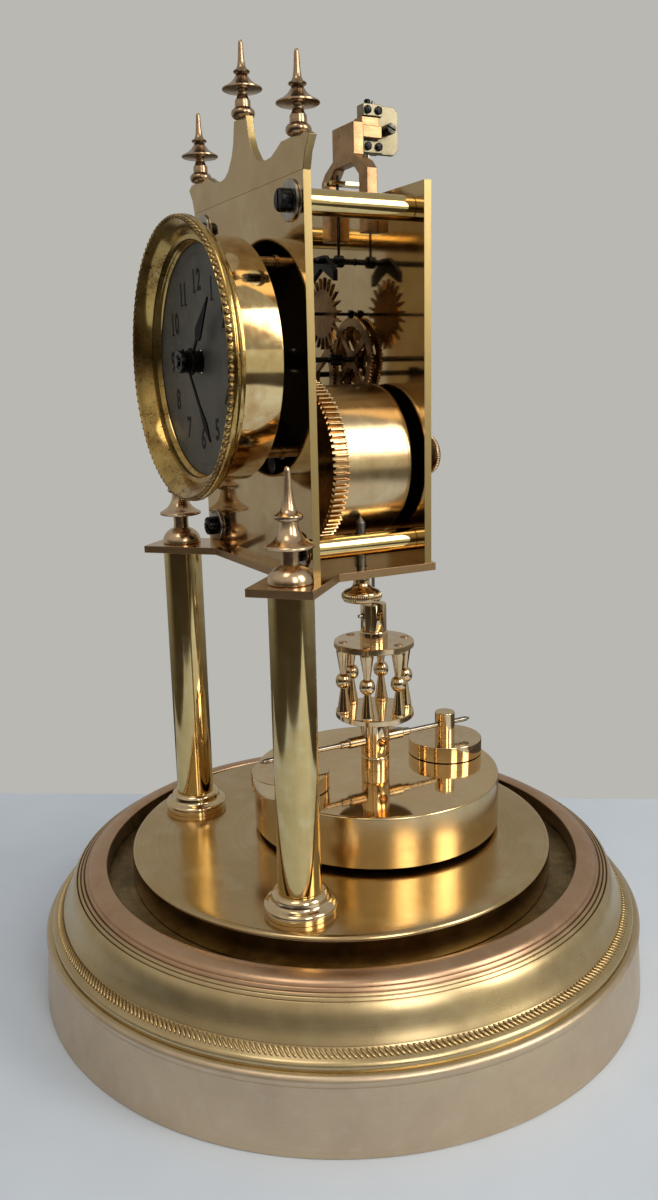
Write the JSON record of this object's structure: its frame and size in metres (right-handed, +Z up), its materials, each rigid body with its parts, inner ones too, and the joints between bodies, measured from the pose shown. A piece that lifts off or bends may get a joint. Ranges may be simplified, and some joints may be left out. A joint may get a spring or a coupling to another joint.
{
  "type": "anniversary clock",
  "caption": "Anniversary clock with a torsion pendulum under a two-plate movement on turned columns and a stepped round brass base, open without a dome",
  "frame": {"origin": "centre of the round base on the surface it stands on", "axes": "+Z up, the dial faces -Y, +X to the right of someone who looks at the dial"},
  "size_m": [0.2, 0.2, 0.2869],
  "materials": {
    "spun_brass": "aged satin",
    "yellow_brass": "polished",
    "rose_brass": "polished",
    "dark_brass": "aged satin",
    "steel": "satin",
    "blued_steel": "blued",
    "silvered_dial": "matt silvered"
  },
  "bodies": {
    "frame": {"base_shell": "spun_brass", "base_tray": "dark_brass", "base_plateau": "yellow_brass", "left_column_foot": "rose_brass", "left_column": "yellow_brass", "left_column_finial": "rose_brass", "right_column_foot": "rose_brass", "right_column": "yellow_brass", "right_column_finial": "rose_brass", "platform": "yellow_brass", "front_plate": "yellow_brass", "back_plate": "yellow_brass", "gable": "yellow_brass", "gable_finial_left": "rose_brass", "gable_finial_centre": "rose_brass", "gable_finial_right": "rose_brass", "top_left_pillar": "yellow_brass", "top_left_screw": "blued_steel", "top_right_pillar": "yellow_brass", "top_right_screw": "blued_steel", "bottom_left_pillar": "yellow_brass", "bottom_left_screw": "blued_steel", "bottom_right_pillar": "yellow_brass", "bottom_right_screw": "blued_steel", "left_thumbscrew": "rose_brass", "right_thumbscrew": "rose_brass", "suspension_cock": "rose_brass", "suspension_chops": "steel", "chop_screw": "blued_steel", "dial_case": "yellow_brass", "bezel": "dark_brass", "dial": "silvered_dial"},
    "pendulum": {"suspension_spring": "steel", "pendulum_hook": "rose_brass", "gallery_top": "rose_brass", "gallery_bottom": "rose_brass", "pendulum_post": "rose_brass", "regulating_rod": "steel", "pendulum_disk": "rose_brass"},
    "front_weight": {"front_weight": "rose_brass"},
    "rear_weight": {"rear_weight": "rose_brass"},
    "fork": {"fork": "yellow_brass"},
    "anchor": {"anchor": "blued_steel"},
    "centre_wheel": {"centre_wheel": "dark_brass", "cannon_pinion": "steel", "minute_hand": "blued_steel", "hand_nut": "steel"},
    "minute_wheel": {"minute_wheel": "yellow_brass"},
    "hour_wheel": {"hour_wheel": "yellow_brass", "hour_hand": "blued_steel"},
    "third_wheel": {"third_wheel": "dark_brass"},
    "second_wheel": {"second_wheel": "dark_brass"},
    "barrel": {"barrel": "yellow_brass", "barrel_cover": "dark_brass", "mainspring": "blued_steel"},
    "escape_wheel": {"escape_wheel": "dark_brass"},
    "winding_arbor": {"winding_arbor": "steel", "ratchet_wheel": "steel", "winding_knob": "rose_brass"},
    "click": {"click": "steel"}
  },
  "joints": [
    {"name": "pendulum_swing", "type": "hinge", "parent": "frame", "child": "pendulum", "pos_m": [0, 0.0142, 0.12], "axis": [0, 0, 1], "range_deg": [-150, 150], "stiffness_Nm_per_rad": 0.00007, "deforming": ["suspension_spring"]},
    {"name": "fork_turn", "type": "hinge", "parent": "frame", "child": "fork", "pos_m": [0, 0.0142, 0.2511], "axis": [0, 0, 1], "range_deg": [-9.64, 9.64]},
    {"name": "anchor_rock", "type": "hinge", "parent": "frame", "child": "anchor", "pos_m": [0, 0, 0.22901], "axis": [0, 1, 0], "range_deg": [-4.65, 4.65]},
    {"name": "front_weight_slide", "type": "slide", "parent": "pendulum", "child": "front_weight", "axis": [0, 1, 0], "range_m": [-0.003, 0.01]},
    {"name": "rear_weight_slide", "type": "slide", "parent": "pendulum", "child": "rear_weight", "axis": [0, 1, 0], "range_m": [-0.01, 0.003]},
    {"name": "minute_hand_turn", "type": "hinge", "parent": "frame", "child": "centre_wheel", "pos_m": [0, -0.00001, 0.2], "axis": [0, 1, 0], "continuous": true},
    {"name": "minute_wheel_turn", "type": "hinge", "parent": "frame", "child": "minute_wheel", "pos_m": [-0.0084, -0.00003, 0.2], "axis": [0, 1, 0], "continuous": true},
    {"name": "hour_hand_turn", "type": "hinge", "parent": "frame", "child": "hour_wheel", "pos_m": [0, -0.00003, 0.2], "axis": [0, 1, 0], "continuous": true},
    {"name": "third_wheel_turn", "type": "hinge", "parent": "frame", "child": "third_wheel", "pos_m": [-0.01478, 0, 0.19568], "axis": [0, 1, 0], "continuous": true},
    {"name": "second_wheel_turn", "type": "hinge", "parent": "frame", "child": "second_wheel", "pos_m": [-0.01107, 0, 0.17876], "axis": [0, 1, 0], "continuous": true},
    {"name": "barrel_turn", "type": "hinge", "parent": "frame", "child": "barrel", "pos_m": [0.0135, 0, 0.1703], "axis": [0, 1, 0], "continuous": true},
    {"name": "escape_wheel_turn", "type": "hinge", "parent": "frame", "child": "escape_wheel", "pos_m": [0, 0, 0.21361], "axis": [0, 1, 0], "continuous": true},
    {"name": "winding_knob_turn", "type": "hinge", "parent": "frame", "child": "winding_arbor", "pos_m": [0.0135, 0, 0.1703], "axis": [0, 1, 0], "range_deg": [0, 2520]},
    {"name": "click_turn", "type": "hinge", "parent": "frame", "child": "click", "pos_m": [0.02308, 0.0115, 0.17833], "axis": [0, 1, 0], "range_deg": [-12, 0], "stiffness_Nm_per_rad": 0.01}
  ],
  "couplings": [
    {"joint": "fork_turn", "follows": "pendulum_swing", "ratio": 0.063933},
    {"joint": "anchor_rock", "follows": "pendulum_swing", "ratio": 0.03068},
    {"joint": "rear_weight_slide", "follows": "front_weight_slide", "ratio": -1},
    {"joint": "minute_wheel_turn", "follows": "minute_hand_turn", "ratio": -0.33333},
    {"joint": "hour_hand_turn", "follows": "minute_hand_turn", "ratio": 0.083333},
    {"joint": "third_wheel_turn", "follows": "minute_hand_turn", "ratio": -0.1},
    {"joint": "second_wheel_turn", "follows": "minute_hand_turn", "ratio": 0.01},
    {"joint": "barrel_turn", "follows": "minute_hand_turn", "ratio": -0.00083333},
    {"joint": "escape_wheel_turn", "follows": "minute_hand_turn", "ratio": -12}
  ]
}
